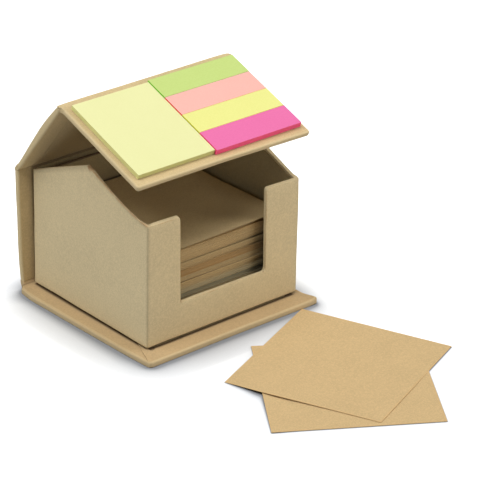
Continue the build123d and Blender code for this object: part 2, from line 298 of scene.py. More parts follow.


# one paper finish: pulp, then tone, cut edges, rubbed edges, and painted shade with stains where the paper
# has them
def paperMaterial(name, own):
    look = {k: linear(v) if isinstance(v, tuple) else v for k, v in {**plainPaper, **own}.items()}
    material = bpy.data.materials.new(name)
    material.use_nodes = True
    tree = material.node_tree
    paper = look["paper"]
    pulp = addNode(tree, "ShaderNodeGroup", {
        "Paper": paper,
        "Dark": look.get("dark", shade(paper, look["darker"])),
        "Light": look.get("light", shade(paper, look["lighter"])),
        "Cloud": look["cloud"], "Grain": look["grain"], "Fibre": look["fibre"], "Speck": look["speck"],
    }, node_tree=paperPulp).outputs
    colour, height = pulp["Color"], pulp["Height"]
    if "toneLow" in look:
        tone = meshValue(tree, "tone")
        colour = mixColour(tree, ramp(tree, tone, 0.5, 1.0), colour, look["toneHigh"])
        colour = mixColour(tree, ramp(tree, opposite(tree, tone), 0.5, 1.0), colour, look["toneLow"])
    if "leaf" in look:
        leaf = addNode(tree, "ShaderNodeGroup", {
            "Color": colour, "Deep": look["leaf"], "Tint": look["leafTint"], "Amount": look["leafAmount"],
            "Leaf": meshValue(tree, "leaf"), "Side": meshValue(tree, "side"),
        }, node_tree=leafEdges).outputs
        colour, height = leaf["Color"], plus(tree, height, leaf["Height"])
    if "rubbed" in look:
        colour = addNode(tree, "ShaderNodeGroup", {
            "Color": colour, "Rubbed": look["rubbed"], "Amount": look["rubAmount"],
            "Edge": meshValue(tree, "edge"),
        }, node_tree=rubbedEdge).outputs["Color"]
    # painted shade, with a few real stains, laid in a dark colour over the mask
    if "shadeAndStain" in look:
        colour = mixColour(tree, meshValue(tree, "shadeAndStain"), colour, look["shadeAndStain"])
    bump = addNode(tree, "ShaderNodeBump", {
        "Strength": look["bump"], "Distance": look["bumpDepth"], "Height": height,
    })
    shader = tree.nodes["Principled BSDF"].inputs
    feed(tree, shader["Base Color"], colour)
    feed(tree, shader["Roughness"], pulp["Rough"])
    feed(tree, shader["Normal"], bump.outputs["Normal"])
    feed(tree, shader["Specular IOR Level"], look["gloss"])
    return material


finish = {name: paperMaterial(name, look) for name, look in papers.items()}
print("materials made:", len(finish))


# mesh helpers: points are in mm until they become a piece
tiny = 1e-6
smoothAngle = 35


def spread(low, high, step):
    count = max(1, round((high - low) / step))
    return [low + (high - low) * i / count for i in range(count + 1)]


# 0 up to start, then 1 from start + run on
def slide(value, start, run):
    return np.clip((value - start) / run, 0, 1)


# 1 in the middle, falling off to both sides
def bell(value, middle, wide):
    return np.exp(-(((value - middle) / wide) ** 2))


def reversedFaces(faces):
    return [face[::-1] for face in faces]


# the skin of a block with lines at us, vs and ns
def lattice(us, vs, ns):
    index, points, faces = {}, [], []

    def corner(i, j, k):
        if (i, j, k) not in index:
            index[i, j, k] = len(points)
            points.append((us[i], vs[j], ns[k]))
        return index[i, j, k]

    def quad(*corners):
        faces.append(tuple(corner(*c) for c in corners))

    lastU, lastV, lastN = len(us) - 1, len(vs) - 1, len(ns) - 1
    for i in range(lastU):
        for j in range(lastV):
            quad((i, j, 0), (i, j + 1, 0), (i + 1, j + 1, 0), (i + 1, j, 0))
            quad((i, j, lastN), (i + 1, j, lastN), (i + 1, j + 1, lastN), (i, j + 1, lastN))
    for i in range(lastU):
        for k in range(lastN):
            quad((i, 0, k), (i + 1, 0, k), (i + 1, 0, k + 1), (i, 0, k + 1))
            quad((i, lastV, k), (i, lastV, k + 1), (i + 1, lastV, k + 1), (i + 1, lastV, k))
    for j in range(lastV):
        for k in range(lastN):
            quad((0, j, k), (0, j, k + 1), (0, j + 1, k + 1), (0, j + 1, k))
            quad((lastU, j, k), (lastU, j + 1, k), (lastU, j + 1, k + 1), (lastU, j, k + 1))
    return np.array(points, float), faces


# square corner of side r to a quarter round, p and q measured from its inner corner
def toRound(p, q):
    reach = np.hypot(p, q)
    share = np.where(reach > 1e-9, np.maximum(p, q) / np.maximum(reach, 1e-9), 1.0)
    return p * share, q * share


# rounds the free edges and corners of a block, and gives each point its nearness to an edge
def roundBlock(points, half, length, thick, edgeRound, cornerRound, freeStart, freeEnd, fade):
    u, v, n = points.T.copy()
    far = np.full_like(u, 1e3)
    atSide = half - np.abs(u)
    atStart = v if freeStart else far
    atEnd = length - v if freeEnd else far
    atTip = np.minimum(atStart, atEnd)
    signU = np.sign(u)
    signV = np.where(atStart < atEnd, -1.0, 1.0)
    edge = np.minimum(atSide, atTip)
    outU = np.where(atSide <= atTip, signU, 0.0)
    outV = np.where(atSide <= atTip, 0.0, signV)
    if cornerRound > 0:
        turned = (atSide < cornerRound) & (atTip < cornerRound)
        p, q = cornerRound - atSide, cornerRound - atTip
        pr, qr = toRound(np.maximum(p, 0), np.maximum(q, 0))
        reach = np.maximum(np.hypot(p, q), 1e-9)
        u = np.where(turned, signU * (half - cornerRound + pr), u)
        tip = np.where(signV < 0, cornerRound - qr, length - cornerRound + qr)
        v = np.where(turned, tip, v)
        outU = np.where(turned, signU * p / reach, outU)
        outV = np.where(turned, signV * q / reach, outV)
        edge = np.where(turned, cornerRound - np.maximum(p, q), edge)
    depth = np.minimum(n, thick - n)
    bent = (edge < edgeRound) & (depth < edgeRound)
    p, q = toRound(np.maximum(edgeRound - edge, 0), np.maximum(edgeRound - depth, 0))
    inward = np.where(bent, edgeRound - p - edge, 0.0)
    newDepth = np.where(bent, edgeRound - q, depth)
    u -= outU * inward
    v -= outV * inward
    n = np.where(n < thick / 2, newDepth, thick - newDepth)
    near = np.exp(-np.maximum(np.maximum(edge, depth) - edgeRound, 0) / fade)
    return np.stack([u, v, n], 1), near


# small unevenness of hand-covered board
def wobble(points, size, amount, seed):
    shift = Vector((seed * 17.3, seed * 5.1, seed * 11.7))
    return np.array([amount * noise.noise(Vector(p) / size + shift) for p in points])


def makePiece(name, points, faces, material, values=None, faceValues=None):
    mesh = bpy.data.meshes.new(name)
    mesh.from_pydata([tuple(p * mm) for p in points], [], faces)
    mesh.materials.append(finish[material])
    for domain, layers in (("POINT", values), ("FACE", faceValues)):
        for label, data in (layers or {}).items():
            layer = mesh.attributes.new(label, "FLOAT", domain)
            layer.data.foreach_set("value", np.asarray(data, np.float32))
    mesh.validate()
    mesh.polygons.foreach_set("use_smooth", np.ones(len(mesh.polygons), bool))
    mesh.set_sharp_from_angle(angle=math.radians(smoothAngle))
    return addObject(name, mesh)


# the case: sizes in mm, folds as (y, z), angles in degrees
case = {
    "width": 117.0, "depth": 118.0, "thick": 3.0, "backRoof": 65.2, "frontRoof": 67.2,
    "edgeRound": 1.0,
    "floorRound": 0.3,  # of the base's lower edge, which lies flat
    "cornerRound": 1.8,
    "turnIn": 12.0,
    "turnInRise": 0.14,  # run of the step from the liner's window up to the turn-in
    "linerDrop": 0.42,  # window for the liner, a little deeper than the liner
    "mitreDepth": 0.28, "mitreStep": 0.14,
    "wobble": 0.16,
    "rubFade": 0.4,
    "bendReach": 14,  # how far in from an edge its bend is felt
    "footShade": 0.85, "footFade": 0.7, "footUnder": 2.5,  # painted shade, with some glue, in a dark line round the tray's foot
}
caseHalf = case["width"] / 2
trayHalf, trayMiddle = 51.0, 2.8  # where the tray stands on the base
spineFold = (case["depth"] / 2, 0.0)
eaveFold = (59.0, 74.5055)
ridgeBack = (17.3523, 124.6703)
ridgeFront = (13.0332, 123.8308)
backAngle, frontAngle, stripAngle = 50.3, -20.0, -11.0
eaveGap = {"back": 0.8, "roof": 4.4}  # the hinge paper reaches further up the roof
spineRound = 5.4  # the covers stop here and the spine's round begins
ridgeTrim = {"back": 0.5, "front": 0.4}  # boards stop short of the ridge folds
ridgeSeen = (17.7, 125.85)  # the paper stands up a little at the ridge
edgeSteps = [case["edgeRound"] * s for s in (0, 0.35, 0.7, 1)]

# how the covers depart from flat panels, and how dark their painted shade is
bends = {
    "base_cover": {
        "leftFront": 0.9, "leftGrow": 3.4, "leftTuck": 0.35, "rightIn": 1.6,
        "frontOut": 1.0, "frontRight": 0.9, "cornerLift": 0.9,
    },
    "back_cover": {"leftOut": 0.9, "footIn": 1.1, "slotHalf": 50.0, "slotShade": 0.66},
    "back_roof_cover": {"leftOut": 0.9, "bow": 1.3, "turnInShade": 0.12},
    "front_roof_cover": {"rightOut": 0.8, "cornerOut": 1.1},
}


def slopeAway(point, angle, distance):
    a = math.radians(angle)
    return (point[0] - distance * math.cos(a), point[1] + distance * math.sin(a))


def slopePlane(start, angle):
    a = math.radians(angle)
    return {
        "origin": np.array((0, start[0], start[1])),
        "along": np.array((0, -math.cos(a), math.sin(a))),
        "inward": np.array((0, -math.sin(a), -math.cos(a))),
    }


def toFrame(plane, points):
    u, v, n = points.T
    across = plane["origin"] + np.outer(u, (1.0, 0, 0))
    return across + np.outer(v, plane["along"]) + np.outer(n, plane["inward"])


# lines across a panel: close at a free edge, through the turn-in, then wide
def panelLines(length, closeStart, closeEnd):
    window = case["turnIn"]
    rim = [window, window + case["turnInRise"]]
    close = edgeSteps + [1.15, 1.6] + spread(2.1, window + 1.5, 0.55)
    close = [x for x in close if all(abs(x - w) > 0.2 for w in rim)] + rim
    loose = [0, 1.0, 2.5]
    low = sorted(close if closeStart else loose)
    high = sorted(length - x for x in (close if closeEnd else loose))
    return low + spread(low[-1], high[0], 3.4)[1:-1] + high


# 0 well inside, 1 at the edge
def fadeIn(across, edge=caseHalf):
    return np.clip((across - edge + case["bendReach"]) / case["bendReach"], 0, 1) ** 2


# painted shade, with some glue: a dark line on the base where the tray stands
def footShadeLine(points):
    away = np.maximum(np.abs(points[:, 0]) - trayHalf, np.abs(points[:, 1] - trayMiddle) - trayHalf)
    return case["footShade"] * bell(np.maximum(away, 0), 0, case["footFade"]) * (away > -case["footUnder"])


# the base is wider towards the back left and pulled in at the right
def baseLean(u, v, length):
    bend = bends["base_cover"]
    flare = bend["leftFront"] + bend["leftGrow"] * slide(v, 0, length) ** 0.55
    flare = flare * (1 - bend["leftTuck"] * fadeIn(v, length))
    return -fadeIn(-u) * flare - fadeIn(u) * bend["rightIn"] * slide(v, 4, 5)


# bends a cover's points and gives their painted shade
def bendCover(name, points, raw, plane, length, inner):
    u, v, n = raw.T
    bend, thick = bends[name], case["thick"]
    toRight = slide(u, 0, caseHalf)
    if name == "base_cover":  # right front corner thick with folded paper
        points[:, 0] += baseLean(u, v, length)
        points[:, 1] -= np.clip(1 - v / 10, 0, 1) ** 2 * (bend["frontOut"] + bend["frontRight"] * toRight)
        lift = np.exp(-(((caseHalf - u) / 3.2) ** 2 + (v / 3.4) ** 2))
        points[:, 2] += bend["cornerLift"] * lift * (0.4 + 0.6 * n / thick)
        return footShadeLine(toFrame(plane, raw)) * inner
    if name == "back_cover":  # painted shade in the slot behind the tray
        points[:, 0] -= fadeIn(-u) * (bend["leftOut"] - bend["footIn"] * np.exp(-v / 9))
        return bend["slotShade"] * inner / (1 + np.exp(-(bend["slotHalf"] - np.abs(u)) / 0.3))
    if name == "back_roof_cover":  # bowed outwards, painted shade on its turn-ins, darker towards the liner
        points[:, 0] -= fadeIn(-u) * bend["leftOut"]
        points[:, 2] -= bend["bow"] * np.sin(math.pi * (v / length) ** 1.5) * (1 - n / thick)
        return bend["turnInShade"] * inner * slide(caseHalf - np.abs(u), 1, 11) ** 0.8
    # the front roof's right front corner stands out
    points[:, 0] += fadeIn(u) * bend["rightOut"] * v / length
    points[:, 1] += np.clip(1 - (length - v) / 6, 0, 1) * toRight * bend["cornerOut"]
    return np.zeros(len(raw))


def casePanel(name, plane, length, freeStart, freeEnd, seed):
    thick, window, corner = case["thick"], case["turnIn"], case["cornerRound"]
    us = [x - caseHalf for x in panelLines(case["width"], True, True)]
    ns = edgeSteps + [thick - s for s in reversed(edgeSteps)]
    raw, faces = lattice(us, panelLines(length, freeStart, freeEnd), ns)

    def rounded(edge):
        return roundBlock(raw, caseHalf, length, thick, edge, corner, freeStart, freeEnd, case["rubFade"])

    u, v, n = raw.T
    points, near = rounded(case["edgeRound"])
    if name == "base_cover":  # lies flat, so its lower edge is sharp
        points = np.where(raw[:, 2:] < thick / 2, rounded(case["floorRound"])[0], points)
    side, inner = caseHalf - np.abs(u), n > thick - tiny
    ends = [end for end, free in ((v, freeStart), (length - v, freeEnd)) if free]
    inWindow = inner & (np.minimum.reduce([side, *ends]) > window + case["turnInRise"] / 2)
    points[inWindow, 2] -= case["linerDrop"]
    for end in ends:  # mitred turn-ins: a groove, one flap a little proud of the other
        across = (side - end) / math.sqrt(2)
        here = inner & ~inWindow & (side < window + 1) & (end < window + 1)
        fold = bell(across, 0, 0.4) * slide(np.minimum(side, end), 1.2, 1.2)
        proud = case["mitreStep"] / (1 + np.exp(-across / 0.25)) * np.exp(-np.abs(across) / 4.0)
        points[here, 2] += (proud - case["mitreDepth"] * fold)[here]
        near = np.where(here, np.maximum(near, 0.8 * fold), near)
    calm = np.where(inWindow, 0.3, np.where(n < tiny, 0.4, 1.0))
    points[:, 2] += wobble(raw, 16.0, case["wobble"] * 0.5, seed) * calm
    points[:, 0] += wobble(raw, 13.0, case["wobble"], seed + 3) * np.exp(-side / 2.0)
    shadeAndStain = bendCover(name, points, raw, plane, length, inner)
    paper = "baseKraftShaded" if name == "base_cover" else "roofKraft"
    return makePiece(name, toFrame(plane, points), faces, paper, {"edge": near, "shadeAndStain": shadeAndStain})


panels = {
    "base": {
        "body": "base_and_tray", "length": case["depth"] - spineRound, "free": (True, False),
        "plane": {
            "origin": np.array((0, -case["depth"] / 2, 0)),
            "along": np.array((0, 1.0, 0)),
            "inward": np.array((0, 0, 1.0)),
        },
    },
    "back": {
        "body": "back_panel", "length": eaveFold[1] - spineRound - eaveGap["back"], "free": (False, False),
        "plane": slopePlane((spineFold[0], spineRound), 90),
    },
    "back_roof": {
        "body": "back_roof", "free": (False, False),
        "length": case["backRoof"] - eaveGap["roof"] - ridgeTrim["back"],
        "plane": slopePlane(slopeAway(eaveFold, backAngle, eaveGap["roof"]), backAngle),
    },
    "front_roof": {
        "body": "front_roof", "length": case["frontRoof"] - ridgeTrim["front"], "free": (False, True),
        "plane": slopePlane(slopeAway(ridgeFront, frontAngle, ridgeTrim["front"]), frontAngle),
    },
}
for seed, (name, panel) in enumerate(panels.items()):
    piece = casePanel(f"{name}_cover", panel["plane"], panel["length"], *panel["free"], seed + 1)
    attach(piece, panel["body"])
    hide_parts(f"{name}_wrap", f"{name}_board")
print("case panels made")


# the front turn-in ends aslant on the base's left strip; ends as (across, along) the base
flap = {
    "tip": (-58.0, 1.0), "foot": (-50.2, 21.5), "front": 0.9,
    "thick": 0.42, "rim": 0.05, "sunk": 0.15, "dark": 0.8, "step": 0.08,
}


def makeFlap():
    base, tip, foot = panels["base"], flap["tip"], flap["foot"]
    lines = spread(0, 1, flap["step"])
    raw, faces = lattice(lines, lines, [0, 0.5, 1])
    s, t, n = raw.T
    u = tip[0] + (foot[0] - tip[0]) * s
    back = tip[1] + (foot[1] - tip[1]) * s
    v = back - (back - flap["front"]) * t
    rise = np.maximum(np.exp(-(back - v) / 2.0), 0.7 * slide(v, 8, 5)) * np.clip(s / 0.12, 0.2, 1)
    height = case["thick"] - flap["sunk"] + (flap["thick"] * rise + flap["rim"]) * n
    points = np.stack([u + baseLean(u, v, base["length"]), v, height], 1)
    # painted shade along the flap's front edge
    shadeAndStain = flap["dark"] * (t < 0.01) * (n < 0.9)
    placed = toFrame(base["plane"], points)
    return makePiece("base_flap", placed, reversedFaces(faces), "baseKraftShaded", {"shadeAndStain": shadeAndStain})


flapPiece = makeFlap()
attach(flapPiece, "base_and_tray")
print("flap made")


# folds: paper carried round a corner between two boards, along a line of three (y, z)
# reach: how far the filling goes in from both sides
# bulge, left: how far the paper swells, and stands out at the left, at the line's start and end
stripMiddle = slopeAway(ridgeBack, stripAngle, 2.2)
folds = {
    "spine": {
        "bodies": ("base_and_tray", "back_panel"), "node": "spine_crease",
        "radius": 5.2, "reach": 13.0, "bulge": (0, 0), "left": (2.8, -0.2),
        "line": ((spineFold[0] - spineRound, 0.0), spineFold, (spineFold[0], spineRound)),
    },
    "eave": {
        "bodies": ("back_panel", "back_roof"), "node": "eave_crease",
        "radius": 0.5, "reach": 70.0, "bulge": (0, 0), "left": (0.9, 0.9),
        "line": (
            (eaveFold[0], eaveFold[1] - eaveGap["back"]),
            eaveFold,
            slopeAway(eaveFold, backAngle, eaveGap["roof"]),
        ),
    },
    "ridge_back": {
        "bodies": ("back_roof", "ridge_strip"), "node": "ridge_crease",
        "radius": 0.8, "reach": 3.0, "bulge": (0, 0.4), "left": (0.9, 0.45),
        "line": (slopeAway(ridgeBack, backAngle, -ridgeTrim["back"]), ridgeSeen, stripMiddle),
    },
    "ridge_front": {
        "bodies": ("ridge_strip", "front_roof"), "node": "ridge_crease",
        "radius": 3.0, "reach": 3.0, "bulge": (0.4, 0), "left": (0.45, 0.0),
        "line": (stripMiddle, ridgeFront, slopeAway(ridgeFront, frontAngle, ridgeTrim["front"])),
    },
}
foldForm = {
    "fill": 2.85, "paper": 0.6,  # thickness at the filled ends and between them
    "endRound": 0.3, "rubFade": 0.8,
    # painted shade in the spine's crease and in the eave's slit
    "spineCreaseShade": 0.45,
    "slitAt": 0.08, "slitWide": 0.05, "slitInset": 7, "slitShade": 0.9,  # slit over the back board
    "ridgeRise": 0.7, "sinkLeft": 0.7, "sinkRight": 0.9,  # higher at the right, corners sink
}


def foldPath(start, corner, end, radius):
    s, c, e = (np.array(p, float) for p in (start, corner, end))
    first, second = (c - s) / np.linalg.norm(c - s), (e - c) / np.linalg.norm(e - c)
    turn = math.acos(float(np.clip(first @ second, -1, 1)))
    cut = radius * math.tan(turn / 2)
    left = 1.0 if first[0] * second[1] - first[1] * second[0] > 0 else -1.0
    inward = left * np.array((-first[1], first[0]))
    centre = c - first * cut + inward * radius
    line = [s + (c - first * cut - s) * t for t in np.linspace(0, 1, 4)[:-1]]
    for t in np.linspace(0, turn, 11):
        line.append(centre - inward * radius * math.cos(t) + first * radius * math.sin(t))
    line += [c + second * cut + (e - c - second * cut) * t for t in np.linspace(0, 1, 4)[1:]]
    return np.array(line)


def foldStrip(name, fold):
    path = foldPath(*fold["line"], fold["radius"])
    steps = np.concatenate([[0], np.cumsum(np.linalg.norm(np.diff(path, axis=0), axis=1))])
    total, full, thin, r = steps[-1], foldForm["fill"], foldForm["paper"], foldForm["endRound"]
    start, middle, end = (np.array(p) for p in fold["line"])

    def inwardAt(a, b):
        d = (b - a) / np.linalg.norm(b - a)
        return np.array((-d[1], d[0]))

    innerStart, innerEnd = start + inwardAt(start, middle) * full, end + inwardAt(middle, end) * full
    corner = (innerStart + innerEnd) / 2
    if name == "spine_fold":  # the wide fill keeps the corner between the two boards
        corner = 0.35 * corner + 0.65 * np.array((innerEnd[0], innerStart[1]))
    tips = [0, r * 0.5, r, 0.7, 1.2, 1.7, 2.3, 3.0, 4.0]
    us = [x - caseHalf for x in tips] + spread(-caseHalf + 6, caseHalf - 6, 4.5)
    us += [caseHalf - x for x in reversed(tips)]
    raw, faces = lattice(us, list(steps), [0, 0.08, 0.16, 0.5, 0.84, 0.92, 1])
    block = raw * (1, 1, full)
    points, near = roundBlock(block, caseHalf, total, full, r, 0, False, False, foldForm["rubFade"])
    u, run, share = raw.T
    side, t, inside = caseHalf - np.abs(u), run / total, share > 0.3
    filled = 1 / (1 + np.exp(np.clip((side - fold["reach"]) / 0.22, -40, 40)))
    depth = points[:, 2] / full * (thin + (full - thin) * filled) / full
    fromSlit, inset = t - foldForm["slitAt"], foldForm["slitInset"]
    if name == "eave_fold":  # open slit between the hinge paper and the back board
        slot = (np.abs(fromSlit) < foldForm["slitWide"]) * slide(side, inset, 2)
        depth *= 1 - 0.75 * inside * slot
    startSwell, endSwell = fold["bulge"]
    swell = startSwell * np.cos(t * math.pi / 2) ** 2 + endSwell * np.sin(t * math.pi / 2) ** 2
    heading = np.gradient(path, axis=0)
    outward = np.stack([heading[:, 1], -heading[:, 0]], 1) / np.linalg.norm(heading, axis=1)[:, None]
    world = [points[:, 0]]
    for k in (0, 1):
        inner = (1 - t) ** 2 * innerStart[k] + 2 * t * (1 - t) * corner[k] + t ** 2 * innerEnd[k]
        outer = np.interp(run, steps, path[:, k]) + swell * np.interp(run, steps, outward[:, k])
        world.append(outer * (1 - depth) + inner * depth)
    world = np.stack(world, 1)
    ease = 1 - (1 - t) ** 3
    world[:, 0] -= (fold["left"][0] * (1 - ease) + fold["left"][1] * ease) * fadeIn(-u)
    rise = foldForm["ridgeRise"] * slide(u, -20, 70)
    if name == "ridge_back_fold":
        sinkLeft = foldForm["sinkLeft"] * np.exp(-(caseHalf + u) / 4.0)
        sinkRight = foldForm["sinkRight"] * np.exp(-(caseHalf - u) / 2.5)
        world[:, 2] += rise * slide(t, 0, 0.45) - (sinkLeft + sinkRight) * np.sin(math.pi * t) ** 2
    if name == "ridge_front_fold":
        world[:, 2] += rise * (1 - t)
    # painted shade in the spine's crease and the eave's slit
    crease = np.zeros(len(raw))
    if name == "spine_fold":
        crease = bell(t, 0.5, 0.12) * inside * foldForm["spineCreaseShade"]
    if name == "eave_fold":  # painted shade in the slit, fainter towards the ends, brown hinge paper above it
        slit = foldForm["slitShade"] * bell(fromSlit, 0, foldForm["slitWide"])
        crease = inside * np.maximum(0.05, np.where(side > inset, slit, 0.6 * slit))
    paper = "baseKraftShaded" if name == "spine_fold" else "roofKraft"
    values = {"edge": np.maximum(near, 0.6) * (1 - crease), "shadeAndStain": crease}
    return makePiece(name, world, faces, paper, values)


for name, fold in folds.items():
    piece = foldStrip(f"{name}_fold", fold)
    start, end = fold["line"][0], fold["line"][2]
    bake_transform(piece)
    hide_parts(fold["node"])
print("folds made")


# the tray: gable walls, a front wall with its cut-out, all in one wrap
tray = {
    "half": trayHalf, "front": -48.2, "back": 53.8, "bottom": 4.2, "wall": 2.25,
    "frontTop": 74.5, "backTop": 73.0, "peak": 93.0, "middle": trayMiddle,
    "cutHalf": 29.1, "sill": 24.5,
    "cornerRound": 1.4, "footRound": 0.9, "tipRound": 1.6, "cutRounds": (0.7, 2.0), "edgeRound": 0.55,
    "wobble": 0.22, "edgeWobble": 0.2,
    # painted shade at the foot, on the back slopes and on the back wall's top; the front wall a little
    # darker towards its foot
    "rubFade": 0.5, "footShade": 0.85, "slopeShade": 0.55, "frontDark": 0.09,
    "backTopShade": 0.95, "backTopShadeFrom": 71.6, "backHalf": 48.8,
    # rubbed along the left slope
    "paleSlope": ((-50.6, -47.0, 74.6), (-50.6, 2.8, 92.8)),
    # dark lines of painted shade and of rubbed paper: both ends, how dark, how wide
    "shadeAndRubLines": (
        (((51.0, -48.2, 4.2), (51.0, -48.2, 74.5)), 0.8, 0.6),  # right front corner, painted shade
        (((-49.3, -46.0, 75.0), (-49.3, 2.8, 93.0)), 0.6, 0.8),  # along the left slope, painted shade
        (((-51.0, -46.0, 75.0), (-51.0, 2.8, 93.0)), 0.25, 0.5),  # and its outer edge, rubbed
        (((-50.6, -47.8, 4.2), (-50.6, -47.8, 74.5)), 0.3, 0.45),  # left front corner, rubbed
    ),
    # the wrap is torn at the left peak: from the peak, how deep
    "tearAt": (-3.3, -2.7, -2.1, -1.5, -0.9, -0.4, 0),
    "tear": (0, 0.35, 0.8, 0.7, 0.95, 0.6, 0),
    "liningDrop": 1.7, "lining": 0.25, "floor": 5.25,
    "gapLine": 53.3, "gapShade": 0.85, "gapWide": 0.6,  # painted shade in the gap behind the top sheet
}
innerHalf = tray["half"] - tray["wall"]
innerFront = tray["front"] + tray["wall"]
innerBack = tray["back"] - tray["wall"]
# the walls stand a little out of true: the right one leans out, the front one falls to the right
lean = {
    "rightLow": 2.7, "rightHigh": 3.7, "leftLow": 1.3, "leftFrom": 29, "leftRise": 0.95, "rightFall": 1.9,
    "gableFall": 0.9, "backFall": 2.2, "backHalf": 48.2, "backFrom": 60,
    # the left gable's front slope sags, its inner edge most: from the peak forward, how much
    "sagAt": (0, 0.1, 0.35, 0.6, 0.85, 0.95, 1),
    "sag": (0, 0.5, 1.35, 1.7, 1.2, 0.2, 0),
    "sagInner": 1.1, "sagDepth": 14, "sagFrom": 48, "sagEdge": 50.6,
}


def gableTop(y):
    ahead = y < tray["middle"]
    low = np.where(ahead, tray["frontTop"], tray["backTop"])
    span = np.where(ahead, tray["middle"] - tray["front"], tray["back"] - tray["middle"])
    return tray["peak"] - (tray["peak"] - low) * np.abs(y - tray["middle"]) / span


def trayHeight(y, level):
    sill = tray["sill"]
    if level <= sill:
        return level
    return sill + (level - sill) * (gableTop(y) - sill) / (tray["frontTop"] - sill)


def buildTray():
    half, front, back, sill = (tray[k] for k in ("half", "front", "back", "sill"))
    bottom, top, middle, cut = (tray[k] for k in ("bottom", "frontTop", "middle", "cutHalf"))
    xs = [-half, -innerHalf] + spread(-innerHalf + 3, -cut - 3.2, 4) + [-cut]
    xs += spread(-cut + 3.2, cut - 3.2, 4) + [cut] + spread(cut + 3.2, innerHalf - 3, 4) + [innerHalf, half]
    ys = [front, innerFront] + spread(innerFront + 3, middle - 5, 4)
    ys += [middle + s for s in (-4.0, -3.3, -2.7, -2.1, -1.5, -0.9, -0.4, 0, 0.5, 1.2, 2.2)]
    ys += spread(middle + 4, innerBack - 3, 4) + [innerBack, back]
    zs = [bottom] + spread(bottom + 2.6, sill - 3.2, 3.6) + [sill]
    zs += spread(sill + 3.2, top - 3, 3.6) + [top]
    shell = bmesh.new()
    known = {}

    def isWall(i, j, k):
        if not (0 <= i < len(xs) - 1 and 0 <= j < len(ys) - 1 and 0 <= k < len(zs) - 1):
            return False
        x, y, z = (xs[i] + xs[i + 1]) / 2, (ys[j] + ys[j + 1]) / 2, (zs[k] + zs[k + 1]) / 2
        inCut = abs(x) < cut and y < innerFront and z > sill
        return not inCut and (abs(x) > innerHalf or y < innerFront or y > innerBack)

    def at(i, j, k):
        if (i, j, k) not in known:
            known[i, j, k] = shell.verts.new((xs[i], ys[j], trayHeight(ys[j], zs[k])))
        return known[i, j, k]

    # a face wherever a cell of wall meets open air
    cells = itertools.product(range(len(xs)), range(len(ys)), range(len(zs)))
    for cell in [c for c in cells if isWall(*c)]:
        for axis, step in itertools.product(range(3), (0, 1)):
            beside = [c + (2 * step - 1) * (axis == k) for k, c in enumerate(cell)]
            if isWall(*beside):
                continue
            ring = []
            for pair in ((0, 0), (1, 0), (1, 1), (0, 1)):
                corner = list(pair)
                corner.insert(axis, step)
                ring.append(at(*(c + d for c, d in zip(cell, corner))))
            shell.faces.new(ring)
    bmesh.ops.recalc_face_normals(shell, faces=shell.faces)

    def soften(edges, size, count):
        bmesh.ops.bevel(
            shell, geom=edges, offset=size, offset_type="OFFSET", segments=count, profile=0.5,
            affect="EDGES", clamp_overlap=True,
        )

    def softenWhere(test, size):
        soften([e for e in shell.edges if all(test(v.co) for v in e.verts)], size, 4)

    def close(value, other):
        return abs(value - other) < 1e-3

    def onRim(p):
        return abs(p.x) > innerHalf + 0.4 or p.y < innerFront - 0.4 or p.y > innerBack + 0.4

    for x in (-half, half):
        for y in (front, back):
            softenWhere(lambda p: close(p.x, x) and close(p.y, y), tray["cornerRound"])
    for x, size in zip((-cut, cut), tray["cutRounds"]):
        def inFront(p):
            return close(p.x, x) and p.y < innerFront + 1e-3

        softenWhere(lambda p: inFront(p) and close(p.z, sill), size)
        softenWhere(lambda p: inFront(p) and close(p.z, gableTop(p.y)), tray["tipRound"])
    softenWhere(lambda p: close(p.z, bottom) and onRim(p), tray["footRound"])
    joined = [e for e in shell.edges if len(e.link_faces) == 2]
    sharp = [e for e in joined if e.calc_face_angle(0) > math.radians(46) and e.is_convex]
    soften(sharp, tray["edgeRound"], 3)
    shell.verts.index_update()
    points = np.array([v.co for v in shell.verts], float)
    rings = [[v.index for v in face.verts] for face in shell.faces]
    shell.free()
    # a bevel numbers its points anew each run, so points and faces are put in order
    order = np.lexsort(points.round(4).T)
    rank = np.argsort(order)
    rings = [tuple(rank[ring].tolist()) for ring in rings]
    starts = [ring.index(min(ring)) for ring in rings]
    faces = sorted(ring[k:] + ring[:k] for ring, k in zip(rings, starts))
    mesh = bpy.data.meshes.new("trayDraft")
    mesh.from_pydata(points[order], [], faces)
    normals = np.array([v.normal for v in mesh.vertices], float)
    bpy.data.meshes.remove(mesh)
    return points[order], normals, faces


# nearness of points to straight edges, each given by its two ends
def edgeNearness(points, edges, fade):
    near = np.full(len(points), 1e3)
    for a, b in edges:
        a, b = np.array(a, float), np.array(b, float)
        run = b - a
        t = np.clip((points - a) @ run / (run @ run), 0, 1)
        near = np.minimum(near, np.linalg.norm(points - a - t[:, None] * run, axis=1))
    return np.exp(-near / fade)


# edges that are rubbed, and the back slopes, which get painted shade
def trayEdges():
    half, front, back, cut, sill = (tray[k] for k in ("half", "front", "back", "cutHalf", "sill"))
    top, backTop, peak, middle, low = (tray[k] for k in ("frontTop", "backTop", "peak", "middle", "bottom"))
    rubbed, dark = [], []
    for x in (-half, half):
        tip = math.copysign(cut, x)
        rubbed += [((x, front, top), (x, middle, peak)), ((x, front, low), (x, back, low))]
        rubbed += [((x, front, top), (tip, front, top)), ((tip, front, top), (tip, front, sill))]
        dark += [((x, middle, peak), (x, back, backTop))]
    rubbed += [((half, front, low), (half, front, top)), ((-half, front, low), (half, front, low))]
    rubbed += [((-cut, front, sill), (cut, front, sill))]
    return rubbed, dark
